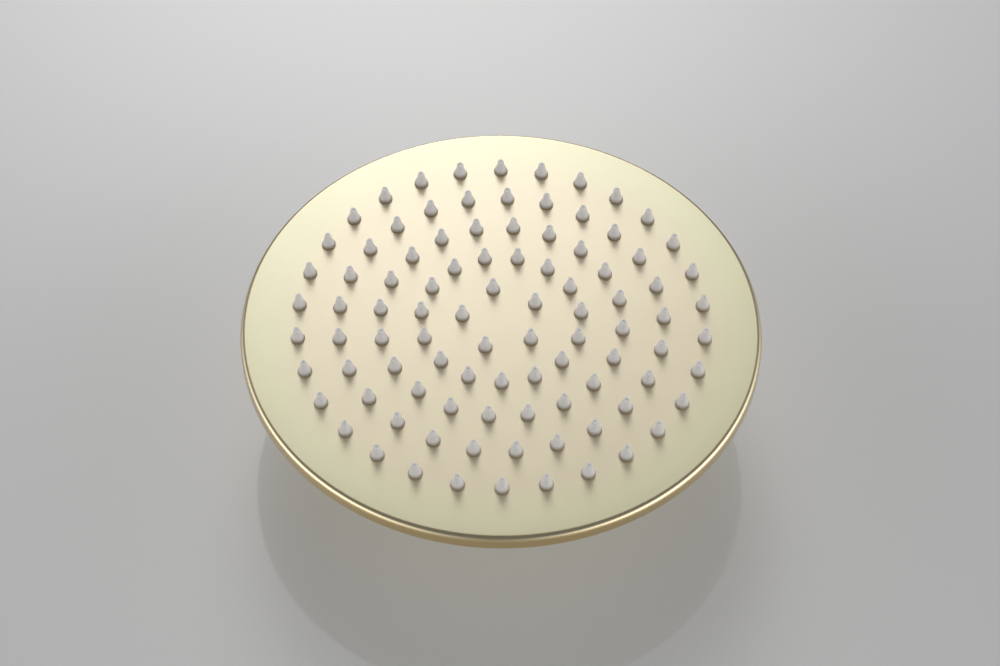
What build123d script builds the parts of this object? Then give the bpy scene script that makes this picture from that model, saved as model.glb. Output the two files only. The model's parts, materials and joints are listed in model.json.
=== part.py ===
from build123d import *
import os
from math import asin, cos, radians, sin, sqrt

# Round rain shower head on a ball joint, face up and standing on its inlet.
# Millimetres, +Z up, origin in the middle of the inlet's end face.
# Heights add up from the inlet, so a changed size lifts everything above it.

# Inlet: hexagon with a half inch inside pipe thread
hex_flats = 26.0
hex_corner_trim = 1.4        # turned off across the hexagon's corners
hex_chamfer = 1.0
hex_roof = 1.75              # above the restrictor's pocket
thread_bore = 20.96          # across the roots of the inside thread
thread_depth = 10.0
thread_lead_in = 0.5
washer_undercut = 0.25       # depth of the washer's groove behind the thread
washer_thickness = 2.4
washer_hole = 13.0
screen_diameter = 15.6
screen_thickness = 0.5
screen_opening = 1.5
screen_pitch = 2.2
screen_rows = 6
restrictor_diameter = 13.4
restrictor_thickness = 1.8
restrictor_orifice = 4.0
inner_fit = 0.05             # round the loose pieces in the inlet

# Ball and neck, one piece with the inlet
neck_diameter = 12.0
neck_height = 12.0           # hexagon to the ball's centre
ball_diameter = 21.0
water_bore = 8.0

# Swivel, with heights from the ball's centre
swivel_fit = 0.05            # running clearance at each round seat
slip_ring_thickness = 1.0
slip_ring_bottom = -4.5
slip_ring_top = -1.0
nut_wall = 2.95              # round the socket's thread
nut_flat_depth = 1.5         # wrench flats cut into that wall
nut_bottom = -7.0
nut_shoulder = 2.2
nut_top = 9.5
nut_lip = 0.6                # straight mouth under the round seat
nut_foot_chamfer = 3.0
nut_top_chamfer = 1.0
thread_fit = 0.05
socket_gap = 0.4             # nut's shoulder to the socket's mouth
socket_clearance = 0.4       # round the ball at the socket's mouth
socket_wall = 2.1            # stem outside that clearance
seal_inset = 0.5             # seal's outside within the ball's radius
seal_wall = 2.4
seal_foot = 0.8              # flat under the seal's outside
seal_lip = 1.1               # seal above its highest touch on the ball
seal_fit = 0.05
seal_gap = 0.5               # free height under the seal
socket_ledge = 0.6           # socket's bore within the seal's hole

# Socket's boss, fixed through the back plate
stem_gap = 2.0               # nut to flange
flange_diameter = 38.0
flange_thickness = 2.5
flange_round = 1.0
spigot_diameter = 18.0
spigot_rise = 1.5            # stands up inside the back plate

# Head: face and back of pressed sheet
head_diameter = 200.0
sheet = 1.0
back_land = 52.0             # diameter of the back's flat middle
back_rise = 5.9              # flat middle to the back's edge
rim_height = 6.0             # bottom of the skirt to the edge of the face
rim_round = 2.2              # bend outside, from the face into the skirt
rim_chamfer = 0.6
face_rise = 3.0              # edge of the face to its crown
weld_fit = 0.05              # back plate in the skirt and round the spigot

# Nozzles
ring_counts = (5, 15, 20, 25, 30)
first_ring_radius = 15.0
bare_edge = 22.0             # outermost ring to the rim
start_angle = 30.6           # every ring starts on this radius
nozzle_base = 5.5
nozzle_shoulder = 3.0
nozzle_tip = 2.4
nozzle_cone = 3.4            # height of the base's cone
nozzle_nose = 2.3            # height of the tip above it
nozzle_stem = 4.0
nozzle_tail = 1.0            # stem behind the sheet
nozzle_wall = 0.5            # round the bore at the tail's end
nozzle_outlet = 0.6          # the bore narrows to this at the tip
nozzle_fit = 0.03            # stem in its hole

# Levels and radii that follow from these sizes
washer_z = thread_depth + inner_fit
seat_z = washer_z + washer_thickness
pocket_z = seat_z + restrictor_thickness
hex_height = pocket_z + hex_roof
groove_radius = thread_bore / 2 + washer_undercut
ball_z = hex_height + neck_height
ball_radius = ball_diameter / 2
slip_radius = ball_radius + swivel_fit
seat_radius = slip_radius + slip_ring_thickness + swivel_fit
mouth_radius = ball_radius + socket_clearance
stem_radius = mouth_radius + socket_wall
nut_bore = stem_radius + thread_fit
nut_radius = nut_bore + nut_wall
seal_radius = ball_radius - seal_inset
seal_hole = seal_radius - seal_wall
seal_bottom = sqrt(slip_radius**2 - (seal_radius - seal_foot) ** 2)
seal_touch = sqrt(slip_radius**2 - seal_hole**2)
seal_top = seal_touch + seal_lip
socket_mouth = nut_shoulder + socket_gap
socket_step = seal_bottom - seal_gap
socket_bore = seal_hole - socket_ledge
flange_z = ball_z + nut_top + stem_gap
land_z = flange_z + flange_thickness
rim_z = land_z + back_rise
edge_z = rim_z + rim_height
crown_z = edge_z + face_rise
head_radius = head_diameter / 2
inner_radius = head_radius - sheet

# The face is part of a sphere through its crown and its edge
dome_radius = (head_radius**2 + face_rise**2) / (2 * face_rise)
dome_z = crown_z - dome_radius


def on_dome(radius, depth=0.0):
    """Point of the face's section at a radius, or of a dome that lies deeper."""
    return (radius, dome_z + sqrt((dome_radius - depth) ** 2 - radius**2))


def on_ball(size, height):
    """Point of a sphere about the ball's centre, at a height from that centre."""
    return (sqrt(size**2 - height**2), ball_z + height)


def nozzle_places(ring):
    """Planes on the face, square to it, one for each nozzle of a ring."""
    ring_pitch = (head_radius - bare_edge - first_ring_radius) / (len(ring_counts) - 1)
    lean = asin((first_ring_radius + ring * ring_pitch) / dome_radius)
    places = []
    for place in range(ring_counts[ring]):
        turn = radians(start_angle + place * 360 / ring_counts[ring])
        outward = Vector(sin(lean) * cos(turn), sin(lean) * sin(turn), cos(lean))
        along_ring = Vector(-sin(turn), cos(turn), 0)
        foot = Vector(0, 0, dome_z) + outward * dome_radius
        places.append(Plane(foot, x_dir=along_ring, z_dir=outward))
    return places


# Ball inlet: hexagon, neck and ball turned from one bar and bored through
with BuildPart() as ball_inlet:
    corner_radius = (hex_flats / cos(radians(30)) - hex_corner_trim) / 2
    with BuildSketch():
        RegularPolygon(hex_flats / 2, 6, major_radius=False)
    extrude(amount=hex_height)
    with BuildSketch(Plane.XZ) as blank:
        Rectangle(corner_radius, hex_height, align=Align.MIN)
        chamfer(blank.vertices().group_by(Axis.X)[-1], hex_chamfer)
    revolve(axis=Axis.Z, mode=Mode.INTERSECT)
    with Locations((0, 0, hex_height)):
        Cylinder(neck_diameter / 2, neck_height, align=(Align.CENTER, Align.CENTER, Align.MIN))
    with Locations((0, 0, ball_z)):
        Sphere(ball_radius)
    with BuildSketch(Plane.XZ):
        with BuildLine():
            Polyline(
                (0, 0),
                (thread_bore / 2 + thread_lead_in, 0),
                (thread_bore / 2, thread_lead_in),
                (thread_bore / 2, thread_depth),
                (groove_radius, thread_depth),
                (groove_radius, seat_z),
                (restrictor_diameter / 2 + inner_fit, seat_z),
                (restrictor_diameter / 2 + inner_fit, pocket_z),
                (water_bore / 2, pocket_z),
                (water_bore / 2, ball_z + ball_radius),
                (0, ball_z + ball_radius),
                close=True,
            )
        make_face()
    revolve(axis=Axis.Z, mode=Mode.SUBTRACT)

# Inlet washer: rubber ring behind the thread, with a step for the screen
with BuildPart() as inlet_washer:
    with BuildSketch(Plane.XZ):
        with BuildLine():
            Polyline(
                (washer_hole / 2, washer_z),
                (groove_radius - inner_fit, washer_z),
                (groove_radius - inner_fit, seat_z),
                (screen_diameter / 2 + inner_fit, seat_z),
                (screen_diameter / 2 + inner_fit, seat_z - screen_thickness),
                (washer_hole / 2, seat_z - screen_thickness),
                close=True,
            )
        make_face()
    revolve(axis=Axis.Z)

# Filter screen: disc with square openings, let into the washer
with BuildPart() as filter_screen:
    with BuildSketch(Plane.XY.offset(seat_z - screen_thickness)) as mesh:
        with GridLocations(screen_pitch, screen_pitch, screen_rows, screen_rows):
            Rectangle(screen_opening, screen_opening)
        Circle(washer_hole / 2, mode=Mode.INTERSECT)
        openings = mesh.sketch
        Circle(screen_diameter / 2, mode=Mode.REPLACE)
        add(openings, mode=Mode.SUBTRACT)
    extrude(amount=screen_thickness)

# Flow restrictor: disc with one orifice, in its pocket above the screen
with BuildPart() as flow_restrictor:
    with BuildSketch(Plane.XY.offset(seat_z)):
        Circle(restrictor_diameter / 2)
        Circle(restrictor_orifice / 2, mode=Mode.SUBTRACT)
    extrude(amount=restrictor_thickness)

# Slip ring: zone of a hollow sphere between the ball and the nut
with BuildPart() as slip_ring:
    slip_outside = slip_radius + slip_ring_thickness
    slip_middle = (slip_ring_bottom + slip_ring_top) / 2
    with BuildSketch(Plane.XZ):
        with BuildLine():
            ThreePointArc(
                on_ball(slip_radius, slip_ring_bottom),
                on_ball(slip_radius, slip_middle),
                on_ball(slip_radius, slip_ring_top),
            )
            Line(on_ball(slip_radius, slip_ring_top), on_ball(slip_outside, slip_ring_top))
            ThreePointArc(
                on_ball(slip_outside, slip_ring_top),
                on_ball(slip_outside, slip_middle),
                on_ball(slip_outside, slip_ring_bottom),
            )
            Line(on_ball(slip_outside, slip_ring_bottom), on_ball(slip_radius, slip_ring_bottom))
        make_face()
    revolve(axis=Axis.Z)

# Ball seal: rubber ring in the socket, hollowed to the ball
with BuildPart() as ball_seal:
    with BuildSketch(Plane.XZ):
        with BuildLine():
            Polyline(
                on_ball(slip_radius, seal_bottom),
                (seal_radius, ball_z + seal_bottom),
                (seal_radius, ball_z + seal_top),
                (seal_hole, ball_z + seal_top),
                on_ball(slip_radius, seal_touch),
            )
            ThreePointArc(
                on_ball(slip_radius, seal_touch),
                on_ball(slip_radius, (seal_touch + seal_bottom) / 2),
                on_ball(slip_radius, seal_bottom),
            )
        make_face()
    revolve(axis=Axis.Z)

# Swivel nut: screws on the socket and holds the ball in with its round seat
with BuildPart() as swivel_nut:
    seat_bottom = nut_bottom + nut_lip
    with BuildSketch(Plane.XZ):
        with BuildLine():
            ThreePointArc(
                on_ball(seat_radius, seat_bottom),
                on_ball(seat_radius, seat_bottom / 2),
                on_ball(seat_radius, 0),
            )
            Polyline(
                on_ball(seat_radius, 0),
                (seat_radius, ball_z + nut_shoulder),
                (nut_bore, ball_z + nut_shoulder),
                (nut_bore, ball_z + nut_top),
                (nut_radius - nut_top_chamfer, ball_z + nut_top),
                (nut_radius, ball_z + nut_top - nut_top_chamfer),
                (nut_radius, ball_z + nut_bottom + nut_foot_chamfer),
                (nut_radius - nut_foot_chamfer, ball_z + nut_bottom),
                (on_ball(seat_radius, seat_bottom)[0], ball_z + nut_bottom),
                on_ball(seat_radius, seat_bottom),
            )
        make_face()
    revolve(axis=Axis.Z)
    with BuildSketch(Plane.XY.offset(ball_z + nut_bottom)):
        Rectangle(2 * nut_radius, 2 * (nut_radius - nut_flat_depth))
    extrude(amount=nut_top - nut_bottom, mode=Mode.INTERSECT)

# Socket: stem, flange and spigot turned in one, bored for the ball, the seal and the water
with BuildPart() as socket:
    with BuildSketch(Plane.XZ) as profile:
        with BuildLine():
            Polyline(
                (mouth_radius, ball_z + socket_mouth),
                (stem_radius, ball_z + socket_mouth),
                (stem_radius, flange_z),
                (flange_diameter / 2, flange_z),
                (flange_diameter / 2, land_z),
                (spigot_diameter / 2, land_z),
                (spigot_diameter / 2, land_z + sheet + spigot_rise),
                (socket_bore, land_z + sheet + spigot_rise),
                (socket_bore, ball_z + seal_top),
                (seal_radius + seal_fit, ball_z + seal_top),
                (seal_radius + seal_fit, ball_z + socket_step),
                (mouth_radius, ball_z + socket_step),
                close=True,
            )
        make_face()
        flange_corners = profile.vertices().group_by(Axis.X)[-1].sort_by(Axis.Y)
        fillet(flange_corners[0], flange_round)
    revolve(axis=Axis.Z)

# Back plate: flat middle, then a shallow bowl up to the skirt
with BuildPart() as back_plate:
    hole_radius = spigot_diameter / 2 + weld_fit
    back_radius = inner_radius - weld_fit
    with BuildSketch(Plane.XZ):
        with BuildLine():
            Line((hole_radius, land_z), (back_land / 2, land_z))
            TangentArc((back_land / 2, land_z), (back_radius, rim_z), tangent=(1, 0))
            Line((back_radius, rim_z), (back_radius, rim_z + sheet))
            Line((hole_radius, land_z), (hole_radius, land_z + sheet))
            Line((hole_radius, land_z + sheet), (back_land / 2, land_z + sheet))
            TangentArc((back_land / 2, land_z + sheet), (back_radius, rim_z + sheet), tangent=(1, 0))
        make_face()
    revolve(axis=Axis.Z)

# Face plate: domed pan with a skirt, punched for the nozzles
with BuildPart() as face_plate:
    with BuildSketch(Plane.XZ) as section:
        with BuildLine():
            ThreePointArc(on_dome(0), on_dome(head_radius / 2), on_dome(head_radius))
            Polyline(
                on_dome(head_radius),
                (head_radius, rim_z),
                (inner_radius, rim_z),
                on_dome(inner_radius, sheet),
            )
            ThreePointArc(on_dome(inner_radius, sheet), on_dome(inner_radius / 2, sheet), on_dome(0, sheet))
            Line(on_dome(0, sheet), on_dome(0))
        make_face()
        inner_bend = section.vertices().group_by(Axis.X)[-2].sort_by(Axis.Y)[-1]
        fillet(inner_bend, rim_round - sheet)
        outer_bend = section.vertices().group_by(Axis.X)[-1].sort_by(Axis.Y)[-1]
        fillet(outer_bend, rim_round)
        skirt_foot = section.vertices().group_by(Axis.X)[-1].sort_by(Axis.Y)[0]
        chamfer(skirt_foot, rim_chamfer)
    revolve(axis=Axis.Z)
    for ring in range(len(ring_counts)):
        with BuildSketch(*nozzle_places(ring)):
            Circle(nozzle_stem / 2 + nozzle_fit)
        extrude(amount=-2 * sheet, mode=Mode.SUBTRACT)

# Nozzle: soft cone and nose, with a stem through the sheet and a bore that narrows to the outlet
with BuildPart() as nozzle:
    with BuildSketch(Plane.XZ):
        with BuildLine():
            Polyline(
                (nozzle_stem / 2 - nozzle_wall, -sheet - nozzle_tail),
                (nozzle_stem / 2, -sheet - nozzle_tail),
                (nozzle_stem / 2, 0),
                (nozzle_base / 2, 0),
                (nozzle_shoulder / 2, nozzle_cone),
                (nozzle_tip / 2, nozzle_cone + nozzle_nose),
                (nozzle_outlet / 2, nozzle_cone + nozzle_nose),
                close=True,
            )
        make_face()
    revolve(axis=Axis.Z)

pieces = {
    "ball_inlet": ball_inlet,
    "inlet_washer": inlet_washer,
    "filter_screen": filter_screen,
    "flow_restrictor": flow_restrictor,
    "slip_ring": slip_ring,
    "ball_seal": ball_seal,
    "swivel_nut": swivel_nut,
    "socket": socket,
    "back_plate": back_plate,
    "face_plate": face_plate,
}
for ring in range(len(ring_counts)):
    with BuildPart() as nozzle_ring:
        with Locations(*nozzle_places(ring)):
            add(nozzle.part)
    pieces[f"nozzle_ring_{ring + 1}"] = nozzle_ring

os.makedirs("parts", exist_ok=True)
for name, piece in pieces.items():
    piece.part.label = name
    export_step(piece.part, f"parts/{name}.step")
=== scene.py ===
import json
from math import cos, pi, radians, sin

import bpy
import numpy as np
from mathutils import Matrix, Vector


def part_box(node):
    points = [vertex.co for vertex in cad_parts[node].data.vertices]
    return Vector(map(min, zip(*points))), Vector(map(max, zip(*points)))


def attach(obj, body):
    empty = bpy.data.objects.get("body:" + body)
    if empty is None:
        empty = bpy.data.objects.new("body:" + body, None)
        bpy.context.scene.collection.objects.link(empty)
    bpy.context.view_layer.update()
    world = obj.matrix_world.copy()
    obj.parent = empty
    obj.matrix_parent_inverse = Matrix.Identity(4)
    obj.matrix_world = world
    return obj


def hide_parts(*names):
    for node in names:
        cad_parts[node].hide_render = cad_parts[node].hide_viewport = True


# Round rain shower head, standing face up on its inlet on a glossy grey table.
# Metres, in the frame of the solids: origin in the middle of the inlet's end face.

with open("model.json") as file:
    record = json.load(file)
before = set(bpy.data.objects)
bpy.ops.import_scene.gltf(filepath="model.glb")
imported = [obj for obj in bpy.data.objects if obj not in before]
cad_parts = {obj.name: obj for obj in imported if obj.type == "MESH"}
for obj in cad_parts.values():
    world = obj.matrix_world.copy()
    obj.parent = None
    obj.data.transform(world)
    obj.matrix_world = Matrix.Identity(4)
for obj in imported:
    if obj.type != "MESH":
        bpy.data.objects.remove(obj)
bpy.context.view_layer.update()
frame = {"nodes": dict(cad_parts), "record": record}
MM = 0.001

# Places read from the solids
face_low, face_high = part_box("face_plate")
HEAD_RADIUS = face_high[0]
RIM_RADIUS = min(-face_low[0], face_high[0], -face_low[1], face_high[1])
CROWN_Z = face_high[2]
RIM_Z = face_low[2]
THREAD_ROOT = frame["record"]["mounts"][0]["dims"]["r_mm"] * MM

# Face: dome, rim and holes, with half the width of the band that a ring of holes lies in
FACE_RISE = 3.0 * MM
RIM_ROUND = 2.2 * MM
RIM_CHAMFER = 0.6 * MM
SHEET = 1.0 * MM
HOLE_RADIUS = 2.03 * MM
HOLE_BAND = 2.7 * MM
DOME_RADIUS = (HEAD_RADIUS**2 + FACE_RISE**2) / (2 * FACE_RISE)
DOME_Z = CROWN_Z - DOME_RADIUS

# Zones of the face's colour: each shade, and the smoother bend, sets in between two distances from the rim
EDGE_ZONE = (26.0 * MM, 8.0 * MM)
BEND_ZONE = (2.7 * MM, 1.7 * MM)
# The skirt's deep tan is painted: a painted reflection of the table and painted shade of its own shadow
SKIRT_PAINTED_REFLECTION_ZONE = (0.45 * MM, 0.1 * MM)
ROLLED_ZONE = (2.4 * MM, 1.3 * MM)

# Depth of the finest surface textures
BUMP_DEPTH = 0.02 * MM

# Nozzles
RING_COUNTS = (5, 15, 20, 25, 30)
FIRST_RING_RADIUS = 15.0 * MM
BARE_EDGE = 22.0 * MM
START_ANGLE = radians(30.6)
NOZZLE_BASE = 2.75 * MM
NOZZLE_SHOULDER = 1.5 * MM
NOZZLE_TIP = 1.2 * MM
NOZZLE_OUTLET = 0.3 * MM
NOZZLE_CONE = 3.4 * MM
NOZZLE_NOSE = 2.3 * MM
NOZZLE_ROUND = 0.15 * MM
NOZZLE_BEAD = 0.4 * MM
BEAD_END_DEGREES = 20
OUTLET_DEPTH = 0.4 * MM
# Height over which each nozzle's foot is painted with shade where it meets the face
FOOT_PAINTED_SHADE_HEIGHT = 2.2 * MM

# Half inch parallel pipe thread
THREAD_PITCH = 1.814 * MM
THREAD_HEIGHT = 1.16 * MM
THREAD_START = 0.6 * MM
THREAD_END = 9.6 * MM
THREAD_SINK = 0.02 * MM
TOOTH_WIDTH = 0.96 * THREAD_PITCH
TOOTH_FULLNESS = 1.2
RUN_OUT_TURNS = 0.5

# Fineness of the meshes: COLUMNS is a multiple of every ring's count
COLUMNS = 300
BAND_ROWS = 4
SECTOR_ROWS = 3
SECTOR_SIDE_STEPS = 4
BEND_POINTS = 25
INNER_BEND_POINTS = 13
NOZZLE_SIDES = 24
BEAD_POINTS = 7
CONE_POINTS = 6
TIP_POINTS = 4
THREAD_POINTS_PER_TURN = 48
TOOTH_POINTS = 9
WELD_DECIMALS = 8
SHARP_EDGE = radians(35)

# Table: painted light, lightest at one place behind the part and fading between two distances from there
TABLE_HALF_WIDTH = 3.0
TABLE_PAINTED_LIGHT_CENTRE = (0.0, 0.3, 0.0)
TABLE_PAINTED_LIGHT_FADE = (0.02, 0.45)

# Light: strength of the room, strength of the room seen directly, and its glows with angles in degrees
ROOM = 0.148
ROOM_SEEN = 0.6
BACK_GLOW = dict(azimuth=94.5, elevation=37, peak=4.9, sharpness=25, narrowness=10, upright=True)
LEFT_GLOW = dict(azimuth=198, elevation=16, peak=2.2, sharpness=3.2, narrowness=12, upright=False)
RIGHT_GLOW = dict(azimuth=342, elevation=16, peak=2.6, sharpness=3.2, narrowness=12, upright=False)

# Camera, fitted to the photograph's nozzles and rim
IMAGE_WIDTH = 1000
FOCAL_PIXELS = 2691.2
SENSOR_MM = 36.0
CAMERA_ELEVATION = radians(51.23)
CAMERA_ROLL = radians(0.59)
CAMERA_DISTANCE = 1.02578
CAMERA_TARGET = Vector((-0.00046, -0.00675, CROWN_Z))


def linear(hex_colour):
    """An sRGB hex colour as linear red, green, blue and alpha."""
    srgb = np.array([int(hex_colour[i : i + 2], 16) for i in (1, 3, 5)]) / 255
    rgb = np.where(srgb <= 0.04045, srgb / 12.92, ((srgb + 0.055) / 1.055) ** 2.4)
    return (*rgb.tolist(), 1.0)


def add_node(tree, kind, settings=None, **inputs):
    """Adds a node. Settings are its properties. Inputs are its sockets, by name with _ for a space or by
    number after a _, and each gets a value or a socket to link from."""
    node = tree.nodes.new(kind)
    for name, value in (settings or {}).items():
        setattr(node, name, value)
    for name, value in inputs.items():
        socket = node.inputs[int(name[1:])] if name[0] == "_" else node.inputs[name.replace("_", " ")]
        if isinstance(value, bpy.types.NodeSocket):
            tree.links.new(value, socket)
        else:
            socket.default_value = value
    return node


def new_material(name):
    """An empty material, its node tree and the Object coordinates that its patterns read."""
    material = bpy.data.materials.new(name)
    material.use_nodes = True
    tree = material.node_tree
    tree.nodes.clear()
    place = add_node(tree, "ShaderNodeTexCoord").outputs["Object"]
    return material, tree, place


def close_material(tree, shader):
    """Links the finished shader to the material's output."""
    add_node(tree, "ShaderNodeOutputMaterial", Surface=shader.outputs["BSDF"])


def per_metre(millimetres):
    """Texture scale that makes one pattern cell this many millimetres wide."""
    return 1 / (millimetres * MM)


def from_axis(tree, place):
    """A place's distance from the Z axis, and its height."""
    axes = add_node(tree, "ShaderNodeSeparateXYZ", Vector=place)
    flat = add_node(tree, "ShaderNodeCombineXYZ", X=axes.outputs["X"], Y=axes.outputs["Y"])
    radius = add_node(tree, "ShaderNodeVectorMath", {"operation": "LENGTH"}, _0=flat.outputs["Vector"])
    return radius.outputs["Value"], axes.outputs["Z"]


# Materials

def satin_gold_sheet():
    """Stainless sheet, fine-blasted, vapour-coated pale gold and lacquered clear: soft wide highlights. Its
    colour is a shade rosier on the flat of the face and greener towards the rim. The skirt is painted a deep
    tan: a painted reflection of the table and painted shade of the skirt's own shadow.
    The rolled bend is smoother, so its highlight is sharper. The blasted grit is drawn 0.35 mm wide, coarser
    than a real one, so that it shows."""
    material, tree, place = new_material("satin_gold_sheet")
    radius, _ = from_axis(tree, place)
    shade = linear("#ece1c5")
    # The last tone is the painted reflection and shade on the skirt, a deep tan
    for (start, end), tone in ((EDGE_ZONE, "#e8e4c3"), (BEND_ZONE, "#ebddb7"), (SKIRT_PAINTED_REFLECTION_ZONE, "#e0c48a")):
        zone = add_node(
            tree, "ShaderNodeMapRange", {"interpolation_type": "SMOOTHSTEP"},
            Value=radius, From_Min=HEAD_RADIUS - start, From_Max=HEAD_RADIUS - end,
        )
        shaded = add_node(
            tree, "ShaderNodeMix", {"data_type": "RGBA"},
            _0=zone.outputs["Result"], _6=shade, _7=linear(tone),
        )
        shade = shaded.outputs[2]
    cloud = add_node(tree, "ShaderNodeTexNoise", Vector=place, Scale=per_metre(millimetres=35), Detail=2.0)
    drift = add_node(tree, "ShaderNodeMapRange", Value=cloud.outputs["Fac"], To_Min=0.97, To_Max=1.03)
    colour = add_node(
        tree, "ShaderNodeMix", {"data_type": "RGBA", "blend_type": "MULTIPLY"},
        _0=1.0, _6=shade, _7=drift.outputs["Result"],
    )
    grit = add_node(tree, "ShaderNodeTexNoise", Vector=place, Scale=per_metre(millimetres=0.35), Detail=3.0)
    satin = add_node(tree, "ShaderNodeMapRange", Value=grit.outputs["Fac"], To_Min=0.50, To_Max=0.57)
    rolled = add_node(
        tree, "ShaderNodeMapRange", {"interpolation_type": "SMOOTHSTEP"},
        Value=radius, From_Min=HEAD_RADIUS - ROLLED_ZONE[0], From_Max=HEAD_RADIUS - ROLLED_ZONE[1],
    )
    roughness = add_node(
        tree, "ShaderNodeMix", _0=rolled.outputs["Result"], _2=satin.outputs["Result"], _3=0.26,
    )
    bump = add_node(
        tree, "ShaderNodeBump", Strength=0.04, Distance=BUMP_DEPTH, Height=grit.outputs["Fac"],
    )
    shader = add_node(
        tree, "ShaderNodeBsdfPrincipled", Base_Color=colour.outputs[2], Metallic=1.0,
        Roughness=roughness.outputs[0], Normal=bump.outputs["Normal"], Coat_Weight=1.0, Coat_Roughness=0.22,
    )
    close_material(tree, shader)
    return material


def satin_gold_turned():
    """Turned brass under the same coating: fine tool rings round the axis streak the highlights.
    The rings are drawn about 0.25 mm apart, coarser than a real finishing cut, so that they show."""
    material, tree, place = new_material("satin_gold_turned")
    radius, height = from_axis(tree, place)
    across = add_node(tree, "ShaderNodeCombineXYZ", X=radius, Z=height)
    rings = add_node(
        tree, "ShaderNodeTexNoise",
        Vector=across.outputs["Vector"], Scale=per_metre(millimetres=0.25), Detail=2.0,
    )
    cloud = add_node(tree, "ShaderNodeTexNoise", Vector=place, Scale=per_metre(millimetres=9), Detail=2.0)
    colour = add_node(
        tree, "ShaderNodeMix", {"data_type": "RGBA"},
        _0=cloud.outputs["Fac"], _6=linear("#ecdfbd"), _7=linear("#f2e9cc"),
    )
    roughness = add_node(tree, "ShaderNodeMapRange", Value=rings.outputs["Fac"], To_Min=0.24, To_Max=0.32)
    bump = add_node(
        tree, "ShaderNodeBump", Strength=0.03, Distance=BUMP_DEPTH, Height=rings.outputs["Fac"],
    )
    shader = add_node(
        tree, "ShaderNodeBsdfPrincipled", Base_Color=colour.outputs[2], Metallic=1.0,
        Roughness=roughness.outputs["Result"], Normal=bump.outputs["Normal"],
    )
    close_material(tree, shader)
    return material


def grey_silicone():
    """Moulded silicone: light grey and translucent, with the mould's soft matt skin, whose grain is drawn
    0.2 mm wide, coarser than a real one, so that it shows. The foot is painted a dark brownish grey that
    fades into the pale body 2.2 mm up: painted shade where the nozzle meets the face. The height is
    taken above the dome."""
    material, tree, place = new_material("grey_silicone")
    from_centre = add_node(
        tree, "ShaderNodeVectorMath", {"operation": "DISTANCE"}, _0=place, _1=(0.0, 0.0, DOME_Z),
    )
    # Painted shade: the foot is dark, and the colour fades to the pale body above it
    clear_of_painted_shade = add_node(
        tree, "ShaderNodeMapRange", {"interpolation_type": "SMOOTHSTEP"},
        Value=from_centre.outputs["Value"], From_Min=DOME_RADIUS, From_Max=DOME_RADIUS + FOOT_PAINTED_SHADE_HEIGHT,
    )
    cloud = add_node(tree, "ShaderNodeTexNoise", Vector=place, Scale=per_metre(millimetres=6), Detail=2.0)
    pale = add_node(
        tree, "ShaderNodeMix", {"data_type": "RGBA"},
        _0=cloud.outputs["Fac"], _6=linear("#eae7e6"), _7=linear("#f1efee"),
    )
    colour = add_node(
        tree, "ShaderNodeMix", {"data_type": "RGBA"},
        _0=clear_of_painted_shade.outputs["Result"], _6=linear("#9c8d74"), _7=pale.outputs[2],
    )
    skin = add_node(tree, "ShaderNodeTexNoise", Vector=place, Scale=per_metre(millimetres=0.2), Detail=2.0)
    roughness = add_node(tree, "ShaderNodeMapRange", Value=skin.outputs["Fac"], To_Min=0.42, To_Max=0.55)
    bump = add_node(
        tree, "ShaderNodeBump", Strength=0.05, Distance=BUMP_DEPTH, Height=skin.outputs["Fac"],
    )
    shader = add_node(
        tree, "ShaderNodeBsdfPrincipled", Base_Color=colour.outputs[2], IOR=1.41,
        Roughness=roughness.outputs["Result"], Normal=bump.outputs["Normal"],
        Subsurface_Weight=1.0, Subsurface_Radius=(1.0, 0.95, 0.9), Subsurface_Scale=1.0 * MM,
    )
    close_material(tree, shader)
    return material


def plain_moulded(name, dark, light, smooth, matt, cell):
    """Moulded rubber or plastic: two close shades in soft clouds, each cell so many millimetres wide, and a
    skin whose roughness goes from smooth to matt. Its grain is drawn 0.15 mm wide, so that it shows."""
    material, tree, place = new_material(name)
    cloud = add_node(tree, "ShaderNodeTexNoise", Vector=place, Scale=per_metre(cell), Detail=3.0)
    colour = add_node(
        tree, "ShaderNodeMix", {"data_type": "RGBA"},
        _0=cloud.outputs["Fac"], _6=linear(dark), _7=linear(light),
    )
    skin = add_node(tree, "ShaderNodeTexNoise", Vector=place, Scale=per_metre(millimetres=0.15), Detail=2.0)
    roughness = add_node(tree, "ShaderNodeMapRange", Value=skin.outputs["Fac"], To_Min=smooth, To_Max=matt)
    shader = add_node(
        tree, "ShaderNodeBsdfPrincipled",
        Base_Color=colour.outputs[2], Roughness=roughness.outputs["Result"],
    )
    close_material(tree, shader)
    return material


def screen_steel():
    """Punched stainless screen: plain grey metal, rolled, with streaks ten times as long as they are wide."""
    material, tree, place = new_material("screen_steel")
    stretch = add_node(tree, "ShaderNodeMapping", Vector=place, Scale=(0.1, 1.0, 1.0))
    streak = add_node(
        tree, "ShaderNodeTexNoise",
        Vector=stretch.outputs["Vector"], Scale=per_metre(millimetres=0.3), Detail=2.0,
    )
    roughness = add_node(tree, "ShaderNodeMapRange", Value=streak.outputs["Fac"], To_Min=0.25, To_Max=0.45)
    colour = add_node(
        tree, "ShaderNodeMix", {"data_type": "RGBA"},
        _0=streak.outputs["Fac"], _6=linear("#b9b9b6"), _7=linear("#cfcfcc"),
    )
    shader = add_node(
        tree, "ShaderNodeBsdfPrincipled", Base_Color=colour.outputs[2], Metallic=1.0,
        Roughness=roughness.outputs["Result"],
    )
    close_material(tree, shader)
    return material


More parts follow.
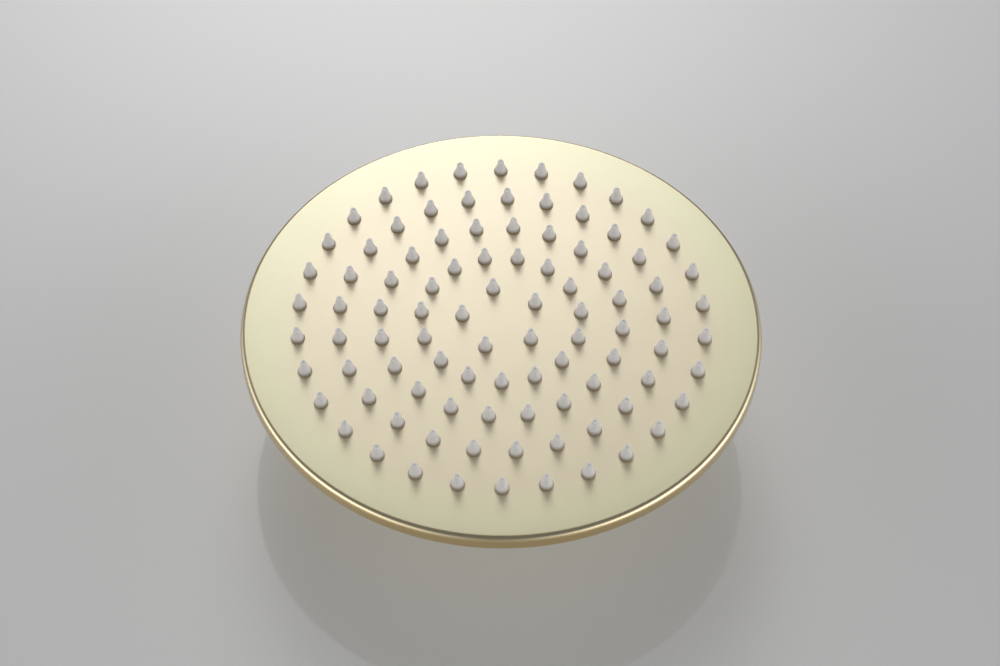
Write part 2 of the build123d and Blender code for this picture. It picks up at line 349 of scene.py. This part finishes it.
def glossy_table():
    """Pale grey lacquered board with light painted on it, lightest behind the part, under a clear gloss
    that mirrors what is on it.
    """
    material, tree, place = new_material("glossy_table")
    away = add_node(tree, "ShaderNodeVectorMath", {"operation": "DISTANCE"}, _0=place, _1=TABLE_PAINTED_LIGHT_CENTRE)
    painted_light_share = add_node(
        tree, "ShaderNodeMapRange", {"interpolation_type": "SMOOTHSTEP"},
        Value=away.outputs["Value"], From_Min=TABLE_PAINTED_LIGHT_FADE[0], From_Max=TABLE_PAINTED_LIGHT_FADE[1],
    )
    # Painted light: the board is painted lighter near the place behind the part
    colour = add_node(
        tree, "ShaderNodeMix", {"data_type": "RGBA"},
        _0=painted_light_share.outputs["Result"], _6=linear("#f7f7f7"), _7=linear("#e6e6e6"),
    )
    shader = add_node(
        tree, "ShaderNodeBsdfPrincipled", Base_Color=colour.outputs[2], Roughness=0.05, IOR=1.54,
    )
    close_material(tree, shader)
    return material


# Shapes

def grid_faces(rows, columns):
    """Quads of a grid of points, row by row, its last column joined to its first."""
    row, column = np.meshgrid(np.arange(rows - 1), np.arange(columns), indexing="ij")
    here, beyond = row * columns, (row + 1) * columns
    right = (column + 1) % columns
    corners = [here + column, here + right, beyond + right, beyond + column]
    return np.stack(corners, axis=-1).reshape(-1, 4)


def welded(grids):
    """Points and faces of several sets of grids, each set an array of copies, rows, columns and x y z.
    Points at one place become one, and a quad with a side of no length becomes a triangle. Adding zero to
    the rounded places turns minus zero into zero, so that equal places are found equal."""
    faces, start = [], 0
    for grid in grids:
        copies, rows, columns = grid.shape[:3]
        first = start + np.arange(copies) * rows * columns
        faces.append((grid_faces(rows, columns) + first[:, None, None]).reshape(-1, 4))
        start += copies * rows * columns
    places = np.concatenate([grid.reshape(-1, 3) for grid in grids])
    places, index = np.unique(np.round(places, WELD_DECIMALS) + 0.0, axis=0, return_inverse=True)
    faces = index.reshape(-1)[np.concatenate(faces)]
    flat = faces == np.roll(faces, -1, axis=1)
    pole = flat.any(axis=1)
    triangles = faces[pole][~flat[pole]].reshape(-1, 3)
    return places, faces[~pole].tolist() + triangles.tolist()


def turned(profile, angle):
    """One grid: each radius and height of a profile carried round the Z axis through the angles."""
    radius, height = profile[:, :1], profile[:, 1:]
    return np.stack([radius * np.cos(angle), radius * np.sin(angle), height + 0 * angle], axis=-1)[None]


def polar(radius, angle):
    """Points of the plan at these radii and angles."""
    return np.stack([radius * np.cos(angle), radius * np.sin(angle)], axis=-1)


def on_dome(plan, depth=0.0):
    """The dome's points over points of the plan, or points that far below them along the dome's normals."""
    height = np.sqrt(DOME_RADIUS**2 - (plan**2).sum(axis=-1, keepdims=True))
    return np.concatenate([plan, height], axis=-1) * (1 - depth / DOME_RADIUS) + (0, 0, DOME_Z)


def ring_radius(ring):
    """Radius of a ring of nozzles: the rings are evenly spaced between the first and the bare edge."""
    return FIRST_RING_RADIUS + ring * (HEAD_RADIUS - BARE_EDGE - FIRST_RING_RADIUS) / (len(RING_COUNTS) - 1)


def nozzle_turns(ring):
    """Angles of a ring's nozzles, evenly spaced from the start angle."""
    count = RING_COUNTS[ring]
    return START_ANGLE + np.arange(count) * 2 * pi / count


def arc(centre, radius, start, end, points):
    """Points of an arc about a centre, between two angles in degrees."""
    angle = np.radians(np.linspace(start, end, points))
    return np.stack([centre[0] + radius * np.cos(angle), centre[1] + radius * np.sin(angle)], axis=-1)


def add_piece(name, points, faces, material, body, slot, replaced=()):
    """Puts points and faces into a new mesh object, smooth but for sharp edges, and hangs it on a body."""
    mesh = bpy.data.meshes.new(name)
    mesh.from_pydata(points.tolist(), [], faces)
    mesh.update()
    mesh.shade_smooth()
    mesh.set_sharp_from_angle(angle=SHARP_EDGE)
    mesh.materials.append(material)
    piece = bpy.data.objects.new(name, mesh)
    bpy.context.scene.collection.objects.link(piece)
    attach(piece, body)
    if replaced:
        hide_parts(*replaced)


def hole_sectors(ring):
    """Plan of a ring's band, cut into one sector for each hole: straight lines run from the edge of the hole
    to the sector's border, whose points lie on the columns that all bands share."""
    middle = ring_radius(ring)
    across, up = COLUMNS // RING_COUNTS[ring], SECTOR_SIDE_STEPS
    step = (np.arange(across + 1) - across // 2) * 2 * pi / COLUMNS
    rise = np.linspace(-HOLE_BAND, HOLE_BAND, up + 1)
    border_turn = np.concatenate([step[:-1], np.full(up, step[-1]), step[:0:-1], np.full(up, step[0])])
    inner_side, outer_side = np.full(across, rise[0]), np.full(across, rise[-1])
    border_rise = np.concatenate([inner_side, rise[:-1], outer_side, rise[:0:-1]])
    turn = nozzle_turns(ring)[:, None]
    border = polar(middle + border_rise, turn + border_turn)
    centre = polar(middle, turn)
    away = border - centre
    hole = centre + HOLE_RADIUS * away / np.linalg.norm(away, axis=-1, keepdims=True)
    share = np.linspace(0, 1, SECTOR_ROWS)[:, None, None]
    return hole[:, None] * (1 - share) + border[:, None] * share


def fine_face_plate(material):
    """The pressed pan: dome above and below, pierced and plain bands by turns, hole walls, and round the edge
    the bend, the skirt with its chamfered foot and the bend's inner side."""
    turn = START_ANGLE - np.arange(COLUMNS) * 2 * pi / COLUMNS
    bend_r = RIM_RADIUS - RIM_ROUND
    bend_z = DOME_Z + np.sqrt((DOME_RADIUS - RIM_ROUND) ** 2 - bend_r**2)
    tangent = 90 - np.degrees(np.arcsin(bend_r / (DOME_RADIUS - RIM_ROUND)))
    dome_edge = DOME_RADIUS * cos(radians(tangent))
    rings = np.array([ring_radius(ring) for ring in range(len(RING_COUNTS))])
    inner = np.append(0, rings + HOLE_BAND)
    outer = np.append(rings - HOLE_BAND, dome_edge)
    radii = [np.linspace(low, high, BAND_ROWS)[:, None] for low, high in zip(inner, outer)]
    bands = [polar(radius, turn)[None] for radius in radii]
    sectors = [hole_sectors(ring) for ring in range(len(RING_COUNTS))]
    above = [on_dome(plan) for plan in bands + sectors]
    below = [on_dome(plan, SHEET)[:, :, ::-1] for plan in bands + sectors]
    walls = [np.stack([on_dome(plan[:, 0], SHEET), on_dome(plan[:, 0])], axis=1) for plan in sectors]
    edge = np.array([dome_edge, 0])
    skirt = np.array(
        [
            (RIM_RADIUS, RIM_Z + RIM_CHAMFER),
            (RIM_RADIUS - RIM_CHAMFER, RIM_Z),
            (RIM_RADIUS - SHEET, RIM_Z),
        ]
    )
    profile = np.concatenate(
        [
            on_dome(edge)[None, ::2],
            arc((bend_r, bend_z), RIM_ROUND, tangent, 0, BEND_POINTS)[1:],
            skirt,
            arc((bend_r, bend_z), RIM_ROUND - SHEET, 0, tangent, INNER_BEND_POINTS)[:-1],
            on_dome(edge, SHEET)[None, ::2],
        ]
    )
    points, faces = welded([*above, *below, *walls, turned(profile, turn)])
    add_piece("fine_face_plate", points, faces, material, "head", "plated_steel", ("face_plate",))


def nozzle_profile():
    """Radius and height of a nozzle from the middle of its foot to the bottom of its outlet: a rounded bead
    at the foot, a cone to the shoulder, a nose that narrows to the tip, a rounded tip edge, then down the
    outlet."""
    top = NOZZLE_CONE + NOZZLE_NOSE
    bead_centre = (NOZZLE_BASE - NOZZLE_BEAD, NOZZLE_BEAD)
    bead = arc(bead_centre, NOZZLE_BEAD, -90, BEAD_END_DEGREES, BEAD_POINTS)
    rise = np.linspace(0, 1, CONE_POINTS)[1:, None]
    cone = bead[-1] + rise * (np.array([NOZZLE_SHOULDER, NOZZLE_CONE]) - bead[-1])
    tip_edge = arc((NOZZLE_TIP - NOZZLE_ROUND, top - NOZZLE_ROUND), NOZZLE_ROUND, 0, 90, TIP_POINTS)
    outlet = np.array([(NOZZLE_OUTLET, top), (NOZZLE_OUTLET, top - OUTLET_DEPTH), (0, top - OUTLET_DEPTH)])
    return np.concatenate([[(0, 0)], bead, cone, tip_edge, outlet])


def nozzle_ring(ring, material):
    """One ring of nozzles: the turned nozzle carried to each place and set square to the dome there."""
    turn = nozzle_turns(ring)
    foot = on_dome(polar(ring_radius(ring), turn))
    outward = (foot - (0, 0, DOME_Z)) / DOME_RADIUS
    along = np.stack([-np.sin(turn), np.cos(turn), 0 * turn], axis=-1)
    axes = np.stack([along, np.cross(outward, along), outward], axis=1)
    shape = turned(nozzle_profile(), np.arange(NOZZLE_SIDES) * 2 * pi / NOZZLE_SIDES)[0]
    points, faces = welded([np.einsum("rck,nkj->nrcj", shape, axes) + foot[:, None, None, :]])
    name = f"nozzle_ring_{ring + 1}"
    add_piece(f"soft_{name}", points, faces, material, "head", "nozzle_silicone", (name,))


def inlet_thread(material):
    """Ridge of the inside thread: a tooth standing in from the bore's wall, a cosine with its top cut flat,
    is carried along a helix and runs out to nothing at both ends. Its back lies just inside the wall."""
    turns = (THREAD_END - THREAD_START) / THREAD_PITCH
    along = np.linspace(0, 1, int(turns * THREAD_POINTS_PER_TURN))[:, None]
    across = np.linspace(-0.5, 0.5, TOOTH_POINTS)[None, :]
    angle = along * turns * 2 * pi
    fade = np.clip(np.minimum(along, 1 - along) * turns / RUN_OUT_TURNS, 0, 1)
    tooth = np.clip(TOOTH_FULLNESS * np.cos(pi * across), 0, 1) * fade
    radius = THREAD_ROOT + THREAD_SINK - THREAD_HEIGHT * tooth
    height = THREAD_START + THREAD_PITCH * along * turns + TOOTH_WIDTH * across * fade
    height = np.clip(height, THREAD_START, THREAD_END)
    points = np.stack([radius * np.cos(angle), radius * np.sin(angle), height], axis=-1)
    add_piece("inlet_thread", *welded([points[None]]), material, "inlet", "plated_brass")


# Table, light and camera

def table():
    """A wide level board under the part, as one quad."""
    half = TABLE_HALF_WIDTH
    corners = [(-half, -half, 0), (half, -half, 0), (half, half, 0), (-half, half, 0)]
    mesh = bpy.data.meshes.new("table")
    mesh.from_pydata(corners, [], [(0, 1, 2, 3)])
    mesh.materials.append(glossy_table())
    board = bpy.data.objects.new("table", mesh)
    bpy.context.scene.collection.objects.link(board)


def with_glow(tree, direction, level, azimuth, elevation, peak, sharpness, narrowness, upright):
    """The level of light with one soft glow added, like a lit window. Its brightness falls from its peak as
    a power of the cosine of the angle from its middle, and again as a power of the cosine of the angle out of
    the plane through its middle along its long side, which stands upright or lies level."""
    turn, rise = radians(azimuth), radians(elevation)
    middle = (cos(turn) * cos(rise), sin(turn) * cos(rise), sin(rise))
    level_way = (-sin(turn), cos(turn), 0.0)
    upright_way = (-cos(turn) * sin(rise), -sin(turn) * sin(rise), cos(rise))
    aside = level_way if upright else upright_way
    facing = add_node(tree, "ShaderNodeVectorMath", {"operation": "DOT_PRODUCT"}, _0=direction, _1=middle)
    ahead = add_node(tree, "ShaderNodeMath", {"operation": "MAXIMUM"}, _0=facing.outputs["Value"], _1=0.0)
    near = add_node(tree, "ShaderNodeMath", {"operation": "POWER"}, _0=ahead.outputs[0], _1=sharpness)
    leaning = add_node(tree, "ShaderNodeVectorMath", {"operation": "DOT_PRODUCT"}, _0=direction, _1=aside)
    off = leaning.outputs["Value"]
    squared = add_node(tree, "ShaderNodeMath", {"operation": "MULTIPLY"}, _0=off, _1=off)
    within = add_node(tree, "ShaderNodeMath", {"operation": "SUBTRACT"}, _0=1.0, _1=squared.outputs[0])
    narrow = add_node(tree, "ShaderNodeMath", {"operation": "POWER"}, _0=within.outputs[0], _1=narrowness)
    glow = add_node(
        tree, "ShaderNodeMath", {"operation": "MULTIPLY"}, _0=near.outputs[0], _1=narrow.outputs[0],
    )
    total = add_node(
        tree, "ShaderNodeMath", {"operation": "MULTIPLY_ADD"}, _0=glow.outputs[0], _1=peak, _2=level,
    )
    return total.outputs[0]


def studio():
    """A dim room with three soft glows: a compact one behind the part and a wide one on either side. Seen
    directly, the room is plain pale grey."""
    world = bpy.data.worlds.new("studio")
    world.use_nodes = True
    tree = world.node_tree
    tree.nodes.clear()
    direction = add_node(tree, "ShaderNodeTexCoord").outputs["Generated"]
    level = ROOM
    for glow in (BACK_GLOW, LEFT_GLOW, RIGHT_GLOW):
        level = with_glow(tree, direction, level, **glow)
    seen = add_node(tree, "ShaderNodeLightPath").outputs["Is Camera Ray"]
    strength = add_node(tree, "ShaderNodeMix", _0=seen, _2=level, _3=ROOM_SEEN)
    background = add_node(
        tree, "ShaderNodeBackground", Color=linear("#ffffff"), Strength=strength.outputs[0],
    )
    add_node(tree, "ShaderNodeOutputWorld", Surface=background.outputs["Background"])
    bpy.context.scene.world = world


def camera():
    """Camera on the fitted line of sight: it stands back from the target and is rolled about that line."""
    back = Vector((0, -cos(CAMERA_ELEVATION), sin(CAMERA_ELEVATION)))
    right = Vector((1, 0, 0))
    up = back.cross(right)
    turned_right = right * cos(CAMERA_ROLL) + up * sin(CAMERA_ROLL)
    turned_up = up * cos(CAMERA_ROLL) - right * sin(CAMERA_ROLL)
    place = CAMERA_TARGET + back * CAMERA_DISTANCE
    lens = bpy.data.cameras.new("camera")
    lens.sensor_width = SENSOR_MM
    lens.sensor_fit = "HORIZONTAL"
    lens.lens = FOCAL_PIXELS / IMAGE_WIDTH * SENSOR_MM
    viewer = bpy.data.objects.new("camera", lens)
    turn = Matrix((turned_right, turned_up, back)).transposed().to_4x4()
    viewer.matrix_world = Matrix.Translation(place) @ turn
    bpy.context.scene.collection.objects.link(viewer)
    bpy.context.scene.camera = viewer


# Dress the solids
gold_sheet = satin_gold_sheet()
gold_turned = satin_gold_turned()
silicone = grey_silicone()
rubber = plain_moulded("black_rubber", "#1b1b1c", "#262627", smooth=0.54, matt=0.66, cell=4)
acetal = plain_moulded("white_acetal", "#e4e3dd", "#eeeee9", smooth=0.34, matt=0.46, cell=5)
restrictor = plain_moulded("white_moulded_plastic", "#dcdcd6", "#e8e8e2", smooth=0.32, matt=0.44, cell=5)

FINISHES = {
    "face_plate": gold_sheet,
    "back_plate": gold_sheet,
    "socket": gold_turned,
    "swivel_nut": gold_turned,
    "ball_inlet": gold_turned,
    "slip_ring": acetal,
    "ball_seal": rubber,
    "inlet_washer": rubber,
    "filter_screen": screen_steel(),
    "flow_restrictor": restrictor,
}
for name, finish in FINISHES.items():
    frame["nodes"][name].material_slots[0].material = finish

# Add the finer pieces
fine_face_plate(gold_sheet)
for ring in range(len(RING_COUNTS)):
    nozzle_ring(ring, silicone)
inlet_thread(gold_turned)

# Set the scene
table()
camera()
studio()
bpy.context.scene.view_settings.view_transform = "Standard"
